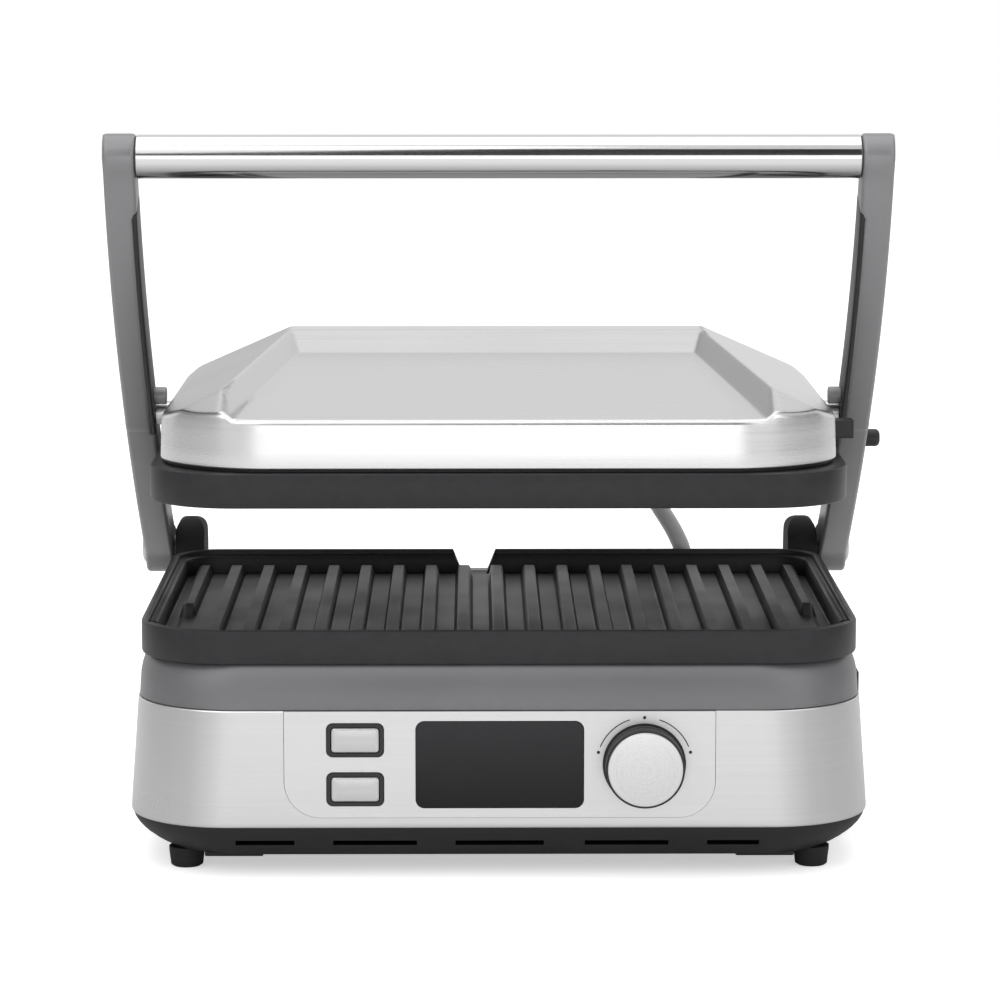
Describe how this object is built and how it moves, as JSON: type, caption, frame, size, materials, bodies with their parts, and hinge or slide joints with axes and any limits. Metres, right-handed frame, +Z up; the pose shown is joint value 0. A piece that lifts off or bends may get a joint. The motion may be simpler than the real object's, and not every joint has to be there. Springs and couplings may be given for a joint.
{
  "type": "electric indoor grill with lid",
  "caption": "Electric contact grill: ribbed lower plate on a wide base with front display, buttons and dial, and a floating lid hung between two curved arms under a tubular handle.",
  "frame": {"origin": "on the worktop, under the middle of the object's outline", "axes": "+X to the user's right as they face the controls, +Y to the rear, +Z up"},
  "size_m": [0.3604, 0.3041, 0.3259],
  "materials": {
    "arm_grey": "satin grey paint",
    "black_plastic": "fine matt",
    "board_green": "circuit board",
    "brass": "plain",
    "brushed": "brushed along the width",
    "button_silver": "bright satin",
    "control_steel": "fine brushed",
    "cover_steel": "brushed along the width",
    "dial_silver": "turned face",
    "display_glass": "smoked gloss",
    "display_panel": "flat display",
    "element": "heat-darkened rod",
    "foot_rubber": "matt",
    "handle_steel": "polished tube",
    "hinge_plastic": "grained",
    "lead_grey": "smooth sleeve",
    "part_steel": "plain steel",
    "plate_coating": "dark non-stick coating on cast metal",
    "reflector": "bright rolled sheet",
    "shell_grey": "satin grey paint",
    "tray_black": "textured black"
  },
  "bodies": {
    "base": {"bottom_tray": "tray_black", "feet": "foot_rubber", "base_shell": "shell_grey", "deck_band": "shell_grey", "front_fascia": "brushed", "control_plate": "control_steel", "control_carrier": "black_plastic", "button_bezels": "black_plastic", "display_lens": "display_glass", "display_module": "display_panel", "control_board": "board_green", "encoder_body": "part_steel", "lower_reflector": "reflector", "lower_element": "element", "lower_thermostat": "brass", "lower_plate": "plate_coating", "plate_clips": "part_steel", "hinge_tower_left": "hinge_plastic", "hinge_tower_right": "hinge_plastic", "hinge_pins": "part_steel", "hinge_washers": "part_steel", "grease_chute": "black_plastic", "power_board": "board_green", "base_screws": "part_steel", "cord_inlet": "black_plastic", "cable_gland_base": "black_plastic", "lid_cable_lower": "lead_grey"},
    "upper_button": {"upper_button": "button_silver"},
    "lower_button": {"lower_button": "button_silver"},
    "dial_push": {"encoder_plunger": "part_steel"},
    "dial": {"dial_shaft": "part_steel", "dial_knob": "dial_silver"},
    "lower_release": {"lower_release_button": "black_plastic", "lower_latch": "part_steel"},
    "drip_tray": {"drip_tray": "black_plastic"},
    "arms": {"arm_left": "arm_grey", "arm_right": "arm_grey", "arm_liner_left": "black_plastic", "arm_liner_right": "black_plastic", "handle_tube": "handle_steel", "handle_plugs": "black_plastic", "handle_screws": "part_steel"},
    "lock_knob": {"lid_lock_knob": "black_plastic"},
    "lid": {"lid_cover": "cover_steel", "lid_frame": "black_plastic", "pivot_brackets": "part_steel", "pivot_pins": "part_steel", "upper_reflector": "reflector", "upper_element": "element", "upper_thermostat": "brass", "upper_plate": "plate_coating", "cable_gland_lid": "black_plastic", "lid_cable_upper": "lead_grey"},
    "upper_release": {"upper_release_button": "black_plastic"}
  },
  "joints": [
    {"name": "arm_hinge", "type": "hinge", "parent": "base", "child": "arms", "pos_m": [0, 0.124, 0.109], "axis": [-1, 0, 0], "range_deg": [-23.2, 58]},
    {"name": "lid_pivot", "type": "hinge", "parent": "arms", "child": "lid", "pos_m": [0, 0.015, 0.19], "axis": [-1, 0, 0], "range_deg": [-58.5, 23.7], "deforming": ["lid_cable_lower", "lid_cable_upper"]},
    {"name": "upper_button_press", "type": "slide", "parent": "base", "child": "upper_button", "axis": [0, 1, 0], "range_m": [0, 0.0012], "stiffness_N_per_m": 400, "springref_m": -0.001},
    {"name": "lower_button_press", "type": "slide", "parent": "base", "child": "lower_button", "axis": [0, 1, 0], "range_m": [0, 0.0012], "stiffness_N_per_m": 400, "springref_m": -0.001},
    {"name": "dial_press", "type": "slide", "parent": "base", "child": "dial_push", "axis": [0, 1, 0], "range_m": [0, 0.0012], "stiffness_N_per_m": 400, "springref_m": -0.001},
    {"name": "dial_turn", "type": "hinge", "parent": "dial_push", "child": "dial", "pos_m": [0.0634, -0.14, 0.0527], "axis": [0, 1, 0], "continuous": true},
    {"name": "lower_release_press", "type": "slide", "parent": "base", "child": "lower_release", "axis": [-1, 0, 0], "range_m": [0, 0.0025], "stiffness_N_per_m": 400, "springref_m": -0.001},
    {"name": "upper_release_press", "type": "slide", "parent": "lid", "child": "upper_release", "axis": [-1, 0, 0], "range_m": [0, 0.0025], "stiffness_N_per_m": 400, "springref_m": -0.001},
    {"name": "lock_turn", "type": "hinge", "parent": "arms", "child": "lock_knob", "pos_m": [0.18, 0.03222, 0.17572], "axis": [1, 0, 0], "range_deg": [0, 90]},
    {"name": "drip_slide", "type": "slide", "parent": "base", "child": "drip_tray", "axis": [0, 1, 0], "range_m": [0, 0.09]}
  ],
  "couplings": [
    {"joint": "lid_pivot", "follows": "arm_hinge", "ratio": -1}
  ]
}
